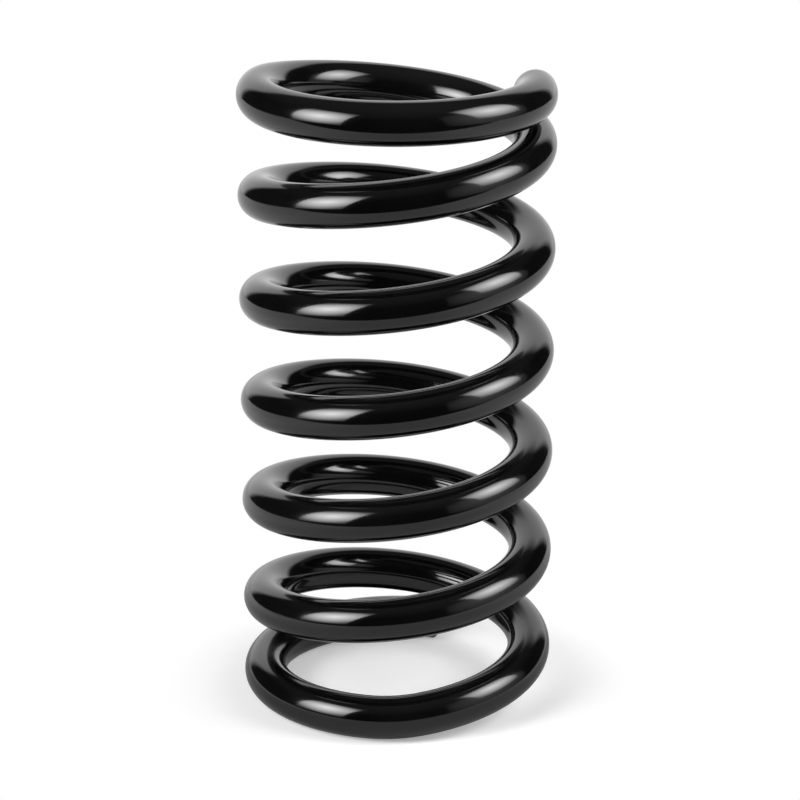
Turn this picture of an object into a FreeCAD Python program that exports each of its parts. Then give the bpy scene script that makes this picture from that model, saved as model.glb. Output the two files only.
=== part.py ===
import FreeCAD, Part
import math
import os

import Sketcher

NODE = "coil_spring"

doc = FreeCAD.newDocument("spring")

# Driving sizes, in millimetres and degrees.
sizes = doc.addObject("Spreadsheet::Sheet", "sizes")
DRIVING = (
    ("wire_diameter", "12"),
    ("inside_diameter", "63.5"),
    ("free_length", "180"),
    ("total_turns", "6.8"),
    # Each end of the wire lies level over this arc, so that the spring stands and seats square.
    ("end_arc", "180"),
    # Past it the wire climbs smoothly into the full pitch over this arc.
    ("ramp_arc", "30"),
    # Where the lower wire end sits round the axis, counted from +X towards +Y.
    ("start_angle", "74"),
    # Short straight of the wire next to each cut.
    ("cut_length", "2"),
    # Rounding of the rims of the two square-cut wire ends.
    ("rim_radius", "1"),
)
for row, (alias, value) in enumerate(DRIVING, start=1):
    sizes.set("A%d" % row, alias)
    sizes.set("B%d" % row, value)
    sizes.setAlias("B%d" % row, alias)
doc.recompute()

coil_radius = (sizes.inside_diameter + sizes.wire_diameter) / 2.0
wire_radius = sizes.wire_diameter / 2.0
sweep_angle = 360.0 * sizes.total_turns
rise = sizes.free_length - sizes.wire_diameter
# A ramp climbs half of what the same arc climbs at full pitch, and there is one at each end.
rise_per_degree = rise / (sweep_angle - 2.0 * sizes.end_arc - sizes.ramp_arc)


def climb(angle):
    """Height gained over an arc counted from a wire end: level, smooth ramp, then full pitch."""
    u = min(max((angle - sizes.end_arc) / sizes.ramp_arc, 0.0), 1.0)
    on_ramp = sizes.ramp_arc * (u**3 - u**4 / 2.0)
    past_ramp = max(angle - sizes.end_arc - sizes.ramp_arc, 0.0)
    return rise_per_degree * (on_ramp + past_ramp)


def centre(angle):
    """Point of the wire's centreline at an arc from the lower end. Both ends are alike."""
    if angle < sweep_angle / 2.0:
        height = climb(angle)
    else:
        height = rise - climb(sweep_angle - angle)
    turn = math.radians(sizes.start_angle + angle)
    return FreeCAD.Vector(coil_radius * math.cos(turn), coil_radius * math.sin(turn), wire_radius + height)


def level_run(angle):
    """Step of the centreline per degree where the wire lies level."""
    turn = math.radians(sizes.start_angle + angle)
    step = math.radians(coil_radius)
    return FreeCAD.Vector(-step * math.sin(turn), step * math.cos(turn), 0.0)


# The level arcs at the two ends of the wire, each with its straight up to the cut.
COIL_RADIUS = "((sizes.inside_diameter + sizes.wire_diameter) / 2)"
LOWER_END = "sizes.start_angle"
UPPER_END = "mod(sizes.start_angle + 360 * sizes.total_turns; 360)"
LOWER_LEVEL = "sizes.wire_diameter / 2"
UPPER_LEVEL = "sizes.free_length - sizes.wire_diameter / 2"
ENDS = (
    ("lower", LOWER_END, LOWER_END, LOWER_LEVEL, "-sizes.cut_length"),
    ("upper", UPPER_END, "%s - sizes.end_arc" % UPPER_END, UPPER_LEVEL, "sizes.cut_length"),
)
for name, end_angle, first_angle, level, run in ENDS:
    arc = doc.addObject("Part::Circle", name + "_arc")
    arc.setExpression("Radius", COIL_RADIUS)
    arc.setExpression("Angle1", first_angle)
    arc.setExpression("Angle2", "%s + sizes.end_arc" % first_angle)
    arc.setExpression("Placement.Base.z", level)
    straight = doc.addObject("Part::Line", name + "_straight")
    across = "%s * cos(%s)" % (COIL_RADIUS, end_angle)
    along = "%s * sin(%s)" % (COIL_RADIUS, end_angle)
    straight.setExpression("X1", across)
    straight.setExpression("Y1", along)
    straight.setExpression("X2", "%s - %s * sin(%s)" % (across, run, end_angle))
    straight.setExpression("Y2", "%s + %s * cos(%s)" % (along, run, end_angle))
    straight.Z2 = 0
    straight.setExpression("Placement.Base.z", level)

# Between them runs one right-hand curve. The pitch fades out towards both ends, which no
# helix primitive gives, so it is drawn through points of the rule above.
STEP = 12.0
first = sizes.end_arc
last = sweep_angle - sizes.end_arc
count = int(round((last - first) / STEP))
angles = [first + (last - first) * i / count for i in range(count + 1)]
curve = Part.BSplineCurve()
curve.interpolate(
    Points=[centre(angle) for angle in angles],
    Parameters=angles,
    InitialTangent=level_run(first),
    FinalTangent=level_run(last),
    Scale=False,
)
coils = doc.addObject("Part::Feature", "coils")
coils.Shape = curve.toShape()

body = doc.addObject("PartDesign::Body", NODE)
body.Label = NODE
body.AllowCompound = False

path = body.newObject("PartDesign::SubShapeBinder", "wire_path")
stretches = (doc.lower_straight, doc.lower_arc, coils, doc.upper_arc, doc.upper_straight)
path.Support = [(stretch, ("",)) for stretch in stretches]

# Round section of the wire, upright across the lower cut.
upright_plane = next(plane for plane in body.Origin.OriginFeatures if plane.Role == "XZ_Plane")
section = body.newObject("Sketcher::SketchObject", "wire_section")
section.AttachmentSupport = (upright_plane, [""])
section.MapMode = "FlatFace"
section_centre = FreeCAD.Vector(coil_radius, wire_radius, 0)
section.addGeometry(Part.Circle(section_centre, FreeCAD.Vector(0, 0, 1), wire_radius))
section.addConstraint(Sketcher.Constraint("Diameter", 0, sizes.wire_diameter))
section.addConstraint(Sketcher.Constraint("DistanceX", -1, 1, 0, 3, coil_radius))
section.addConstraint(Sketcher.Constraint("DistanceY", -1, 1, 0, 3, wire_radius))
section.setExpression("Constraints[0]", "sizes.wire_diameter")
section.setExpression("Constraints[1]", "(sizes.inside_diameter + sizes.wire_diameter) / 2")
section.setExpression("Constraints[2]", "sizes.wire_diameter / 2")
cut_place = "create(<<vector>>; sizes.cut_length * sin(%s); 0; sizes.cut_length * cos(%s))"
cut_turn = "create(<<rotation>>; create(<<vector>>; 0; 1; 0); %s)"
section.setExpression(
    "AttachmentOffset",
    "create(<<placement>>; %s; %s)" % (cut_place % (LOWER_END, LOWER_END), cut_turn % LOWER_END),
)
doc.recompute()

wire = body.newObject("PartDesign::AdditivePipe", "wire")
wire.Profile = section
wire.Spine = (path, ["Edge%d" % number for number in range(1, len(stretches) + 1)])
wire.Mode = "Frenet"
doc.recompute()

# The two flat faces are the cut wire ends, and their rims are rounded.
cut_ends = [face for face in wire.Shape.Faces if isinstance(face.Surface, Part.Plane)]
rims = []
for number, edge in enumerate(wire.Shape.Edges, start=1):
    if any(edge.isSame(rim) for face in cut_ends for rim in face.Edges):
        rims.append("Edge%d" % number)
rounding = body.newObject("PartDesign::Fillet", "rounded_rims")
rounding.Base = (wire, rims)
rounding.setExpression("Radius", "sizes.rim_radius")
doc.recompute()

for item in doc.Objects:
    if "Invalid" in item.State or "Error" in item.State:
        raise RuntimeError("%s did not build: %s" % (item.Name, item.getStatusString()))
if body.Shape.isNull() or not body.Shape.isValid():
    raise RuntimeError("%s has no valid shape" % NODE)

os.makedirs("parts", exist_ok=True)
body.Shape.exportStep("parts/%s.step" % NODE)
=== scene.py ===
import math

import bpy
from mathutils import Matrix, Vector


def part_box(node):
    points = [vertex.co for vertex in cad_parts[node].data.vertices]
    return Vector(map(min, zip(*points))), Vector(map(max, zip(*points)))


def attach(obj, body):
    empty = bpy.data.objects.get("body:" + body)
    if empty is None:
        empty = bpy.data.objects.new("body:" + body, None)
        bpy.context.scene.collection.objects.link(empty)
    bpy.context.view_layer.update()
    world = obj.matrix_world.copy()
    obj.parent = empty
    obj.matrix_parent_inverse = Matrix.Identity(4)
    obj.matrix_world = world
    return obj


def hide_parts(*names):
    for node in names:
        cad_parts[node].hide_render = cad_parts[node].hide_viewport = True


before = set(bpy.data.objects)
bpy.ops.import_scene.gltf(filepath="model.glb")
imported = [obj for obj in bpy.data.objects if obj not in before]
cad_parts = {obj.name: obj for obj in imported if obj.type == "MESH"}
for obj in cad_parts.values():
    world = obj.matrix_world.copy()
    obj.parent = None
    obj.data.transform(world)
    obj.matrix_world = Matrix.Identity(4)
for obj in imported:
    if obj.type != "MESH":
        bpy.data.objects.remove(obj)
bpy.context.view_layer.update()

# Sizes of the spring, in metres and radians. The outside and the length come from the frame.
low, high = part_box("coil_spring")
WIRE_DIAMETER = 0.012
RIM_RADIUS = 0.001
CUT_LENGTH = 0.002
TURNS = 6.8
END_ARC = math.radians(180)
RAMP_ARC = math.radians(30)
START_ANGLE = math.radians(74)
WIRE_RADIUS = WIRE_DIAMETER / 2
COIL_RADIUS = (high.x - low.x - WIRE_DIAMETER) / 2
RISE = high.z - low.z - WIRE_DIAMETER

# Shearing leaves a low step across the middle of each cut face, and above it a half that leans back.
# The line of the step wanders up and down in waves.
SHEAR_STEP = 0.0004
SHEAR_WIDTH = 0.0006
SHEAR_LEAN = 0.0005
SHEAR_WANDER = 0.0015
SHEAR_WAVE = 0.004

# Rings of the mesh along the whole wire, those on each cut face and each rim, and the points of a ring.
RINGS = 913
CUT_RINGS = 20
RIM_RINGS = 8
SIDES = 56
# Share of the rim's radius by which the middle of a cut face stands out, so that no two rings coincide.
CUT_BULGE = 0.05

# Enamel, in metres: long shallow waves that a sprayed film keeps when it levels, 4 mm across, and
# patches where the spray landed wetter or drier, 18 mm across.
FILM_WAVE = 0.004
FILM_WAVE_DEPTH = 0.00001
SPRAY_PATCH = 0.018
WET_BLACK = "#040404"
DRY_BLACK = "#090909"
WET_ROUGHNESS = 0.08
DRY_ROUGHNESS = 0.125


def linear(hex_colour):
    """Linear colour with alpha of an sRGB hex value."""
    channels = [int(hex_colour[i : i + 2], 16) / 255 for i in (1, 3, 5)]
    return [c / 12.92 if c <= 0.04045 else ((c + 0.055) / 1.055) ** 2.4 for c in channels] + [1.0]


def add(tree, kind, inputs=None, **settings):
    """Adds a node with its settings. An input that is a socket or a node is linked, any other is set."""
    node = tree.nodes.new(kind)
    for name, value in settings.items():
        setattr(node, name, value)
    for key, value in (inputs or {}).items():
        if isinstance(value, bpy.types.Node):
            value = value.outputs[0]
        if isinstance(value, bpy.types.NodeSocket):
            tree.links.new(value, node.inputs[key])
        else:
            node.inputs[key].default_value = value
    return node


def blank_material(name):
    """A new material with an empty node tree."""
    material = bpy.data.materials.new(name)
    material.use_nodes = True
    material.node_tree.nodes.clear()
    return material


def enamel_material():
    """Baked black enamel on spring steel, sprayed over the whole coil and the cut ends.

    The film is black right through and levels out glossy, so the eye sees hardly any colour of its own:
    a faint mirror of the floor and the lights, strong only towards the edges of the wire. Where the spray
    lands a little drier the mirror is a trace softer and the black a trace greyer.
    """
    material = blank_material("black_enamel")
    tree = material.node_tree
    place = add(tree, "ShaderNodeTexCoord").outputs["Object"]
    waves = add(tree, "ShaderNodeTexNoise", {"Vector": place, "Scale": 1 / FILM_WAVE, "Detail": 1.0})
    wavy = add(
        tree,
        "ShaderNodeBump",
        {"Strength": 0.25, "Distance": FILM_WAVE_DEPTH, "Height": waves.outputs["Fac"]},
    )
    patches = add(tree, "ShaderNodeTexNoise", {"Vector": place, "Scale": 1 / SPRAY_PATCH, "Detail": 2.0})
    dryness = add(
        tree,
        "ShaderNodeMapRange",
        {"Value": patches.outputs["Fac"], "From Min": 0.3, "From Max": 0.7},
    )
    black = add(
        tree,
        "ShaderNodeMix",
        {0: dryness, 6: linear(WET_BLACK), 7: linear(DRY_BLACK)},
        data_type="RGBA",
    )
    dullness = add(
        tree,
        "ShaderNodeMapRange",
        {"Value": dryness, "To Min": WET_ROUGHNESS, "To Max": DRY_ROUGHNESS},
    )
    film = add(
        tree,
        "ShaderNodeBsdfPrincipled",
        {"Base Color": black.outputs[2], "Roughness": dullness, "IOR": 1.6, "Normal": wavy},
    )
    add(tree, "ShaderNodeOutputMaterial", {"Surface": film})
    return material


def wire_rings(tree, given):
    """Place and radius of each ring of the wire, and the way into the wire where a ring is on a cut."""
    # Ring number counted from the nearer wire end.
    index = add(tree, "GeometryNodeInputIndex")
    last = add(tree, "ShaderNodeMath", {0: given["Rings"], 1: 1.0}, operation="SUBTRACT")
    from_top = add(tree, "ShaderNodeMath", {0: last, 1: index}, operation="SUBTRACT")
    from_end = add(tree, "ShaderNodeMath", {0: index, 1: from_top}, operation="MINIMUM")
    in_upper_half = add(tree, "ShaderNodeMath", {0: index, 1: from_top}, operation="GREATER_THAN")

    # The first rings of each end spread out over the cut face. The next ones follow the quarter round
    # of the rim.
    ring = add(tree, "ShaderNodeMath", {0: from_end, 1: 0.5}, operation="ADD")
    cut_rings = add(tree, "ShaderNodeMath", {0: given["Cut rings"], 1: 0.5}, operation="ADD")
    cut_share = add(tree, "ShaderNodeMath", {0: ring, 1: cut_rings}, operation="DIVIDE", use_clamp=True)
    past_cut = add(tree, "ShaderNodeMath", {0: from_end, 1: given["Cut rings"]}, operation="SUBTRACT")
    rim_share = add(
        tree, "ShaderNodeMath", {0: past_cut, 1: given["Rim rings"]}, operation="DIVIDE", use_clamp=True
    )
    rim_turn = add(tree, "ShaderNodeMath", {0: rim_share, 1: math.pi / 2}, operation="MULTIPLY")
    rim_cosine = add(tree, "ShaderNodeMath", {0: rim_turn}, operation="COSINE")
    rim_sine = add(tree, "ShaderNodeMath", {0: rim_turn}, operation="SINE")
    rim_angle = add(
        tree, "ShaderNodeMath", {0: given["Rim radius"], 1: given["Coil radius"]}, operation="DIVIDE"
    )
    rim_depth = add(tree, "ShaderNodeMath", {0: 1.0, 1: rim_cosine}, operation="SUBTRACT")
    end_depth = add(
        tree,
        "ShaderNodeMath",
        {0: cut_share, 1: given["Cut bulge"], 2: rim_depth},
        operation="MULTIPLY_ADD",
    )
    on_end = add(tree, "ShaderNodeMath", {0: rim_angle, 1: end_depth}, operation="MULTIPLY")
    flat_radius = add(
        tree, "ShaderNodeMath", {0: given["Wire radius"], 1: given["Rim radius"]}, operation="SUBTRACT"
    )
    flat = add(tree, "ShaderNodeMath", {0: flat_radius, 1: cut_share}, operation="MULTIPLY")
    radius = add(
        tree, "ShaderNodeMath", {0: given["Rim radius"], 1: rim_sine, 2: flat}, operation="MULTIPLY_ADD"
    )

    # The other rings are evenly spaced, so an angle from the nearer wire end follows.
    half_angle = add(tree, "ShaderNodeMath", {0: given["Wire angle"], 1: 0.5}, operation="MULTIPLY")
    half_rings = add(tree, "ShaderNodeMath", {0: last, 1: 0.5}, operation="MULTIPLY")
    end_rings = add(
        tree, "ShaderNodeMath", {0: given["Cut rings"], 1: given["Rim rings"]}, operation="ADD"
    )
    end_taken = add(tree, "ShaderNodeMath", {0: -1.0, 1: given["Cut bulge"]}, operation="SUBTRACT")
    even_angle = add(
        tree, "ShaderNodeMath", {0: rim_angle, 1: end_taken, 2: half_angle}, operation="MULTIPLY_ADD"
    )
    even_rings = add(tree, "ShaderNodeMath", {0: half_rings, 1: end_rings}, operation="SUBTRACT")
    spacing = add(tree, "ShaderNodeMath", {0: even_angle, 1: even_rings}, operation="DIVIDE")
    past_end = add(tree, "ShaderNodeMath", {0: from_end, 1: end_rings}, operation="SUBTRACT")
    spaces = add(tree, "ShaderNodeMath", {0: past_end, 1: 0.0}, operation="MAXIMUM")
    end_angle = add(
        tree, "ShaderNodeMath", {0: spaces, 1: spacing, 2: on_end}, operation="MULTIPLY_ADD"
    )

    # Height over that end: level, then a smooth ramp, then the full pitch.
    past_level = add(
        tree, "ShaderNodeMath", {0: end_angle, 1: given["Level angle"]}, operation="SUBTRACT"
    )
    ramp_share = add(
        tree, "ShaderNodeMath", {0: past_level, 1: given["Ramp angle"]}, operation="DIVIDE", use_clamp=True
    )
    third_power = add(tree, "ShaderNodeMath", {0: ramp_share, 1: 3.0}, operation="POWER")
    fourth_power = add(tree, "ShaderNodeMath", {0: third_power, 1: ramp_share}, operation="MULTIPLY")
    ramp_climb = add(
        tree, "ShaderNodeMath", {0: fourth_power, 1: -0.5, 2: third_power}, operation="MULTIPLY_ADD"
    )
    past_ramp = add(
        tree, "ShaderNodeMath", {0: past_level, 1: given["Ramp angle"]}, operation="SUBTRACT"
    )
    full_pitch = add(tree, "ShaderNodeMath", {0: past_ramp, 1: 0.0}, operation="MAXIMUM")
    climb_angle = add(
        tree,
        "ShaderNodeMath",
        {0: ramp_climb, 1: given["Ramp angle"], 2: full_pitch},
        operation="MULTIPLY_ADD",
    )
    off_level = add(
        tree,
        "ShaderNodeMath",
        {0: given["Level angle"], 1: -2.0, 2: given["Wire angle"]},
        operation="MULTIPLY_ADD",
    )
    working_angle = add(
        tree, "ShaderNodeMath", {0: off_level, 1: given["Ramp angle"]}, operation="SUBTRACT"
    )
    slope = add(tree, "ShaderNodeMath", {0: given["Rise"], 1: working_angle}, operation="DIVIDE")
    end_height = add(tree, "ShaderNodeMath", {0: climb_angle, 1: slope}, operation="MULTIPLY")

    # The upper half is the lower half turned end for end.
    top_angle = add(tree, "ShaderNodeMath", {0: given["Wire angle"], 1: end_angle}, operation="SUBTRACT")
    top_height = add(tree, "ShaderNodeMath", {0: given["Rise"], 1: end_height}, operation="SUBTRACT")
    angle = add(tree, "ShaderNodeMix", {"Factor": in_upper_half, "A": end_angle, "B": top_angle})
    height = add(tree, "ShaderNodeMix", {"Factor": in_upper_half, "A": end_height, "B": top_height})
    turn = add(tree, "ShaderNodeMath", {0: angle, 1: given["First angle"]}, operation="ADD")
    cosine = add(tree, "ShaderNodeMath", {0: turn}, operation="COSINE")
    sine = add(tree, "ShaderNodeMath", {0: turn}, operation="SINE")
    place = add(
        tree,
        "ShaderNodeCombineXYZ",
        {
            "X": add(tree, "ShaderNodeMath", {0: cosine, 1: given["Coil radius"]}, operation="MULTIPLY"),
            "Y": add(tree, "ShaderNodeMath", {0: sine, 1: given["Coil radius"]}, operation="MULTIPLY"),
            "Z": add(tree, "ShaderNodeMath", {0: height, 1: given["Wire radius"]}, operation="ADD"),
        },
    )

    # The way into the wire counts in full on the cut face and fades out over the rim.
    fade = add(tree, "ShaderNodeMath", {0: 1.0, 1: rim_share}, operation="SUBTRACT")
    end_sign = add(tree, "ShaderNodeMath", {0: in_upper_half, 1: -2.0, 2: 1.0}, operation="MULTIPLY_ADD")
    reach = add(tree, "ShaderNodeMath", {0: fade, 1: end_sign}, operation="MULTIPLY")
    minus_sine = add(tree, "ShaderNodeMath", {0: sine, 1: -1.0}, operation="MULTIPLY")
    along_wire = add(tree, "ShaderNodeCombineXYZ", {"X": minus_sine, "Y": cosine})
    inward = add(tree, "ShaderNodeVectorMath", {0: along_wire, "Scale": reach}, operation="SCALE")
    return place, radius, inward


def shear_depth(tree, given):
    """How deep each point of a cut face lies, from its height over the wandering line of the step."""
    spot = add(tree, "GeometryNodeInputPosition")
    per_metre = add(tree, "ShaderNodeMath", {0: 1.0, 1: given["Shear wave"]}, operation="DIVIDE")
    waves = add(tree, "ShaderNodeTexNoise", {"Vector": spot, "Scale": per_metre, "Detail": 1.0})
    wander = add(tree, "ShaderNodeMath", {0: waves.outputs["Fac"], 1: 0.5}, operation="SUBTRACT")
    spot_height = add(tree, "ShaderNodeSeparateXYZ", {0: spot}).outputs["Z"]
    over_end = add(tree, "ShaderNodeMath", {0: spot_height, 1: given["Rise"]}, operation="MODULO")
    over_axis = add(tree, "ShaderNodeMath", {0: over_end, 1: given["Wire radius"]}, operation="SUBTRACT")
    over_line = add(
        tree,
        "ShaderNodeMath",
        {0: wander, 1: given["Shear wander"], 2: over_axis},
        operation="MULTIPLY_ADD",
    )
    step_foot = add(tree, "ShaderNodeMath", {0: given["Shear width"], 1: -0.5}, operation="MULTIPLY")
    step_top = add(tree, "ShaderNodeMath", {0: given["Shear width"], 1: 0.5}, operation="MULTIPLY")
    under_step = add(
        tree,
        "ShaderNodeMapRange",
        {
            "Value": over_line,
            "From Min": step_foot,
            "From Max": step_top,
            "To Min": given["Shear step"],
            "To Max": 0.0,
        },
        interpolation_type="SMOOTHSTEP",
    )
    leaning = add(
        tree,
        "ShaderNodeMapRange",
        {"Value": over_line, "From Max": given["Wire radius"], "To Max": given["Shear lean"]},
    )
    return add(tree, "ShaderNodeMath", {0: under_step, 1: leaning}, operation="ADD")


def spring_tree():
    """Geometry Nodes tree of the coil: a right-hand wire, level at both ends, with sheared cut faces."""
    tree = bpy.data.node_groups.new("coil_spring", "GeometryNodeTree")
    tree.interface.new_socket("Geometry", in_out="OUTPUT", socket_type="NodeSocketGeometry")
    sockets = {
        "NodeSocketInt": ("Rings", "Sides", "Cut rings", "Rim rings"),
        "NodeSocketFloat": (
            "Coil radius",
            "Wire radius",
            "Rim radius",
            "Cut bulge",
            "Shear step",
            "Shear width",
            "Shear lean",
            "Shear wander",
            "Shear wave",
            "Rise",
            "Wire angle",
            "Level angle",
            "Ramp angle",
            "First angle",
        ),
        "NodeSocketMaterial": ("Material",),
    }
    for kind, names in sockets.items():
        for name in names:
            tree.interface.new_socket(name, in_out="INPUT", socket_type=kind)
    given = add(tree, "NodeGroupInput").outputs

    place, radius, inward = wire_rings(tree, given)
    line = add(tree, "GeometryNodeMeshLine", {"Count": given["Rings"]})
    coiled = add(tree, "GeometryNodeSetPosition", {"Geometry": line, "Position": place})
    marked = add(
        tree,
        "GeometryNodeStoreNamedAttribute",
        {"Geometry": coiled, "Name": "inward", "Value": inward},
        data_type="FLOAT_VECTOR",
    )
    curve = add(tree, "GeometryNodeMeshToCurve", {"Mesh": marked})
    section = add(tree, "GeometryNodeCurvePrimitiveCircle", {"Resolution": given["Sides"], "Radius": 1.0})
    wire = add(
        tree,
        "GeometryNodeCurveToMesh",
        {"Curve": curve, "Profile Curve": section, "Scale": radius, "Fill Caps": True},
    )
    way = add(tree, "GeometryNodeInputNamedAttribute", {"Name": "inward"}, data_type="FLOAT_VECTOR")
    sunk = add(
        tree, "ShaderNodeVectorMath", {0: way, "Scale": shear_depth(tree, given)}, operation="SCALE"
    )
    sheared = add(tree, "GeometryNodeSetPosition", {"Geometry": wire, "Offset": sunk})
    unmarked = add(tree, "GeometryNodeRemoveAttribute", {"Geometry": sheared, "Name": "inward"})
    smooth = add(tree, "GeometryNodeSetShadeSmooth", {"Geometry": unmarked})
    real = add(tree, "GeometryNodeRealizeInstances", {"Geometry": smooth})
    painted = add(tree, "GeometryNodeSetMaterial", {"Geometry": real, "Material": given["Material"]})
    add(tree, "NodeGroupOutput", {"Geometry": painted})
    return tree


def coil_spring():
    """The dressed spring as one plain mesh."""
    cut_angle = CUT_LENGTH / COIL_RADIUS
    values = {
        "Rings": RINGS,
        "Sides": SIDES,
        "Cut rings": CUT_RINGS,
        "Rim rings": RIM_RINGS,
        "Coil radius": COIL_RADIUS,
        "Wire radius": WIRE_RADIUS,
        "Rim radius": RIM_RADIUS,
        "Cut bulge": CUT_BULGE,
        "Shear step": SHEAR_STEP,
        "Shear width": SHEAR_WIDTH,
        "Shear lean": SHEAR_LEAN,
        "Shear wander": SHEAR_WANDER,
        "Shear wave": SHEAR_WAVE,
        "Rise": RISE,
        "Wire angle": 2 * math.pi * TURNS + 2 * cut_angle,
        "Level angle": END_ARC + cut_angle,
        "Ramp angle": RAMP_ARC,
        "First angle": START_ANGLE - cut_angle,
        "Material": enamel_material(),
    }
    tree = spring_tree()
    carrier = bpy.data.objects.new("spring_rule", bpy.data.meshes.new("spring_rule"))
    bpy.context.scene.collection.objects.link(carrier)
    modifier = carrier.modifiers.new("coil", "NODES")
    modifier.node_group = tree
    for item in tree.interface.items_tree:
        if item.in_out == "INPUT":
            modifier[item.identifier] = values[item.name]
    depsgraph = bpy.context.evaluated_depsgraph_get()
    mesh = bpy.data.meshes.new_from_object(carrier.evaluated_get(depsgraph), depsgraph=depsgraph)
    carrier.modifiers.remove(modifier)
    bpy.data.objects.remove(carrier)
    piece = bpy.data.objects.new("spring", mesh)
    bpy.context.scene.collection.objects.link(piece)
    return piece


spring = coil_spring()
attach(spring, "root")
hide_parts("coil_spring")


# Studio: paper on a table, a white backdrop behind it, two soft lights and a pale card in a dark room.
# Lengths are in metres, and a level of 1 is white.
FLOOR_SIDE = 1.5
FLOOR_FRONT = -0.27
FLOOR_BACK = 1.6

# The paper as the camera sees it: lit, with a glow added that lifts it towards white, and plain white
# from where the shadow has faded. The glow is painted light, strongest inside the bottom ring, where it
# lightens the spring's shadow. Both fades run over distances from the coil's axis.
PAPER = "#E6E6E6"
PAPER_GLOW_AND_PAINTED_LIGHT = (0.44, 0.28)
PAINTED_LIGHT_FADE = (0.02, 0.045)
SHADOW_FADE = (0.043, 0.070)

# The paper as the gloss of the wire sees it: as it is lit in front, with painted light inside the bottom
# ring that lightens its shadow in the wire's reflection, and bright under the lights at the sides and
# behind. This fade runs over distances to the side or to the back.
PAPER_IN_GLOSS = "#B4B4B4"
# Painted light inside the bottom ring, seen only in the wire's reflection of the paper.
GLOSS_PAINTED_LIGHT = (0.22, 0.0)
GLOSS_FADE = (0.04, 0.22)
GLOSS_WHITE = 0.75

# The backdrop's reach to each side and upwards, for each metre that it is away, and its soft edge.
BACKDROP_LEVEL = 1.0
BACKDROP_SIDE = 0.7
BACKDROP_TOP = 0.8
BACKDROP_SOFT = 0.08
# The room is dark, with a dim ceiling that starts at this upward share of a direction.
ROOM_LEVEL = 0.02
CEILING_LEVEL = 0.12
CEILING_FROM = 0.5

# Share of a light's strength that is left at the edge of its glow.
GLOW_EDGE = 0.08

# Camera, worked out from where the turns sit in the picture. Lens and sensor are in millimetres.
CAMERA_PLACE = (0.00084, -0.82386, 0.35394)
CAMERA_DOWN = 18.0
CAMERA_LENS = 139.05
CAMERA_SENSOR = 36.0
CAMERA_FAR = 50.0


def flat_panel(name, corners, material):
    """One flat face through its corners."""
    mesh = bpy.data.meshes.new(name)
    mesh.from_pydata(corners, [], [tuple(range(len(corners)))])
    mesh.materials.append(material)
    panel = bpy.data.objects.new(name, mesh)
    bpy.context.scene.collection.objects.link(panel)
    return panel


def floor():
    """Paper that takes the spring's shadow and is plain white further out.

    The camera sees it lit and lifted towards white by a glow, as in a product picture. Inside the bottom
    ring that glow is painted light over the spring's shadow. The gloss of the wire sees it as it is lit in
    front of the spring, with painted light inside the bottom ring, and white to the sides and behind,
    under the lights.
    """
    material = blank_material("studio_paper")
    tree = material.node_tree
    place = add(tree, "ShaderNodeTexCoord").outputs["Object"]
    from_axis = add(tree, "ShaderNodeVectorMath", {0: place}, operation="LENGTH").outputs["Value"]
    axes = add(tree, "ShaderNodeSeparateXYZ", {0: place}).outputs
    aside = add(tree, "ShaderNodeMath", {0: axes["X"]}, operation="ABSOLUTE")
    from_front = add(tree, "ShaderNodeMath", {0: aside, 1: axes["Y"]}, operation="MAXIMUM")
    looks = []
    for colour, (painted_light_inside, glow_outside), away, (fade_from, fade_to), white_level in (
        (PAPER, PAPER_GLOW_AND_PAINTED_LIGHT, from_axis, SHADOW_FADE, 1.0),
        (PAPER_IN_GLOSS, GLOSS_PAINTED_LIGHT, from_front, GLOSS_FADE, GLOSS_WHITE),
    ):
        # Painted light: a glow added to the lit paper, strongest inside the bottom ring, where it lightens
        # the spring's shadow.
        glow_and_painted_light = add(
            tree,
            "ShaderNodeMapRange",
            {
                "Value": from_axis,
                "From Min": PAINTED_LIGHT_FADE[0],
                "From Max": PAINTED_LIGHT_FADE[1],
                "To Min": painted_light_inside,
                "To Max": glow_outside,
            },
        )
        glow = add(tree, "ShaderNodeEmission", {"Strength": glow_and_painted_light})
        paper = add(tree, "ShaderNodeBsdfDiffuse", {"Color": linear(colour)})
        paper_and_painted_light = add(tree, "ShaderNodeAddShader", {0: paper, 1: glow})
        white = add(tree, "ShaderNodeEmission", {"Strength": white_level})
        far = add(
            tree,
            "ShaderNodeMapRange",
            {"Value": away, "From Min": fade_from, "From Max": fade_to},
            interpolation_type="SMOOTHSTEP",
        )
        looks.append(add(tree, "ShaderNodeMixShader", {0: far, 1: paper_and_painted_light, 2: white}))
    to_camera, to_gloss = looks
    seen = add(tree, "ShaderNodeLightPath").outputs["Is Camera Ray"]
    surface = add(tree, "ShaderNodeMixShader", {0: seen, 1: to_gloss, 2: to_camera})
    add(tree, "ShaderNodeOutputMaterial", {"Surface": surface})
    corners = [
        (-FLOOR_SIDE, FLOOR_FRONT, 0),
        (FLOOR_SIDE, FLOOR_FRONT, 0),
        (FLOOR_SIDE, FLOOR_BACK, 0),
        (-FLOOR_SIDE, FLOOR_BACK, 0),
    ]
    return flat_panel("studio_floor", corners, material)


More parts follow.
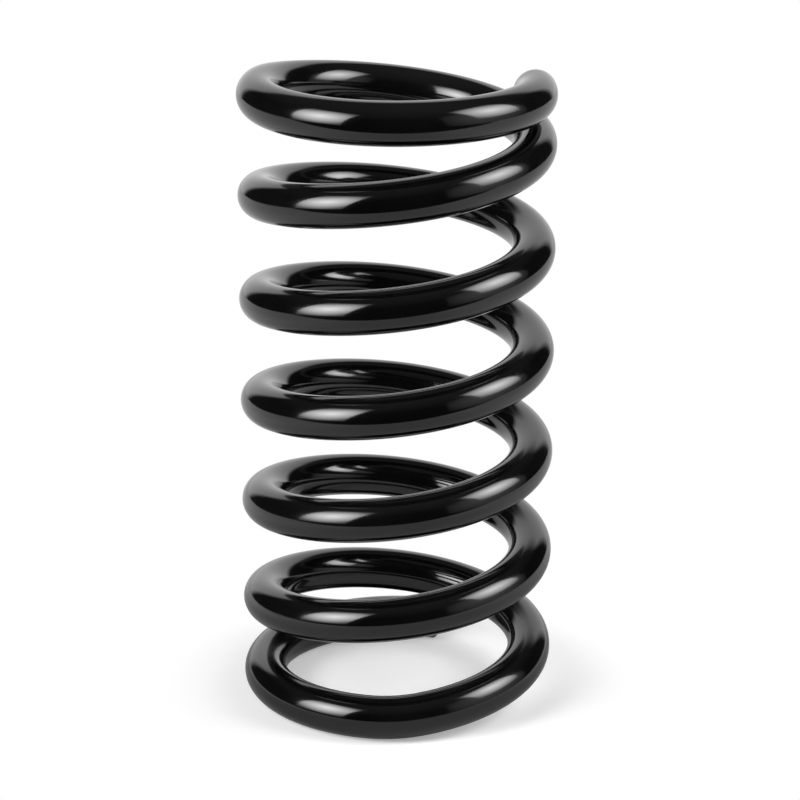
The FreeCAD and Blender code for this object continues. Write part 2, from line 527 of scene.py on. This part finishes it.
def soft_light(name, azimuth, elevation, lean, distance, half_width, half_height, strength, glow_radius):
    """Flat soft light with a bright middle, beside the spring and not seen by the camera.

    Azimuth 0 is the camera's side, and + is to the right. The panel stands upright at lean 0 and looks
    further down the more it leans. Angles are in degrees.
    """
    material = blank_material(name)
    tree = material.node_tree
    place = add(tree, "ShaderNodeTexCoord").outputs["Object"]
    off_middle = add(tree, "ShaderNodeVectorMath", {0: place}, operation="LENGTH").outputs["Value"]
    glow = add(
        tree,
        "ShaderNodeMapRange",
        {
            "Value": off_middle,
            "From Max": glow_radius,
            "To Min": strength,
            "To Max": GLOW_EDGE * strength,
        },
    )
    lit = add(tree, "ShaderNodeEmission", {"Strength": glow})
    add(tree, "ShaderNodeOutputMaterial", {"Surface": lit})
    corners = [(x * half_width, y * half_height, 0) for x, y in ((-1, -1), (1, -1), (1, 1), (-1, 1))]
    lamp = flat_panel(name, corners, material)
    around = math.radians(azimuth)
    up = math.radians(elevation)
    out = Vector((math.sin(around) * math.cos(up), -math.cos(around) * math.cos(up), math.sin(up)))
    middle = Vector((0, 0, (low.z + high.z) / 2))
    lamp.location = middle + out * distance
    lamp.rotation_euler = (math.pi / 2 - math.radians(lean), 0, around)
    lamp.visible_camera = False
    return lamp


def studio_world():
    """White for the camera. In reflections the backdrop is white and the rest of the room is dark."""
    world = bpy.data.worlds.new("studio")
    bpy.context.scene.world = world
    world.use_nodes = True
    tree = world.node_tree
    tree.nodes.clear()
    way = add(tree, "ShaderNodeTexCoord").outputs["Generated"]
    axes = add(tree, "ShaderNodeSeparateXYZ", {0: way}).outputs
    aside = add(tree, "ShaderNodeMath", {0: axes["X"]}, operation="ABSOLUTE")
    within = []
    for offset, reach in ((aside, BACKDROP_SIDE), (axes["Z"], BACKDROP_TOP)):
        past_edge = add(
            tree, "ShaderNodeMath", {0: axes["Y"], 1: -reach, 2: offset}, operation="MULTIPLY_ADD"
        )
        within.append(
            add(
                tree,
                "ShaderNodeMapRange",
                {
                    "Value": past_edge,
                    "From Min": -BACKDROP_SOFT,
                    "From Max": BACKDROP_SOFT,
                    "To Min": 1.0,
                    "To Max": 0.0,
                },
            )
        )
    backdrop = add(tree, "ShaderNodeMath", {0: within[0], 1: within[1]}, operation="MULTIPLY")
    room = add(
        tree,
        "ShaderNodeMapRange",
        {"Value": axes["Z"], "From Min": CEILING_FROM, "To Min": ROOM_LEVEL, "To Max": CEILING_LEVEL},
    )
    around = add(tree, "ShaderNodeMix", {"Factor": backdrop, "A": room, "B": BACKDROP_LEVEL})
    seen = add(tree, "ShaderNodeLightPath").outputs["Is Camera Ray"]
    level = add(tree, "ShaderNodeMix", {"Factor": seen, "A": around, "B": 1.0})
    sky = add(tree, "ShaderNodeBackground", {"Color": level, "Strength": 1.0})
    add(tree, "ShaderNodeOutputWorld", {"Surface": sky})


studio_world()
left_light = soft_light(
    "left_light",
    azimuth=-57.5,
    elevation=30,
    lean=16,
    distance=0.9,
    half_width=0.305,
    half_height=0.46,
    strength=14.2,
    glow_radius=0.46,
)
right_light = soft_light(
    "right_light",
    azimuth=77,
    elevation=39,
    lean=22,
    distance=0.9,
    half_width=0.28,
    half_height=0.385,
    strength=11.5,
    glow_radius=0.43,
)
right_card = soft_light(
    "right_card",
    azimuth=68,
    elevation=22,
    lean=8,
    distance=1.1,
    half_width=0.72,
    half_height=0.56,
    strength=0.8,
    glow_radius=0.85,
)
floor()

camera = bpy.data.objects.new("camera", bpy.data.cameras.new("camera"))
bpy.context.scene.collection.objects.link(camera)
camera.data.sensor_width = CAMERA_SENSOR
camera.data.lens = CAMERA_LENS
camera.data.clip_end = CAMERA_FAR
camera.location = CAMERA_PLACE
camera.rotation_euler = (math.radians(90 - CAMERA_DOWN), 0, 0)
bpy.context.scene.camera = camera

bpy.context.scene.view_settings.view_transform = "Standard"
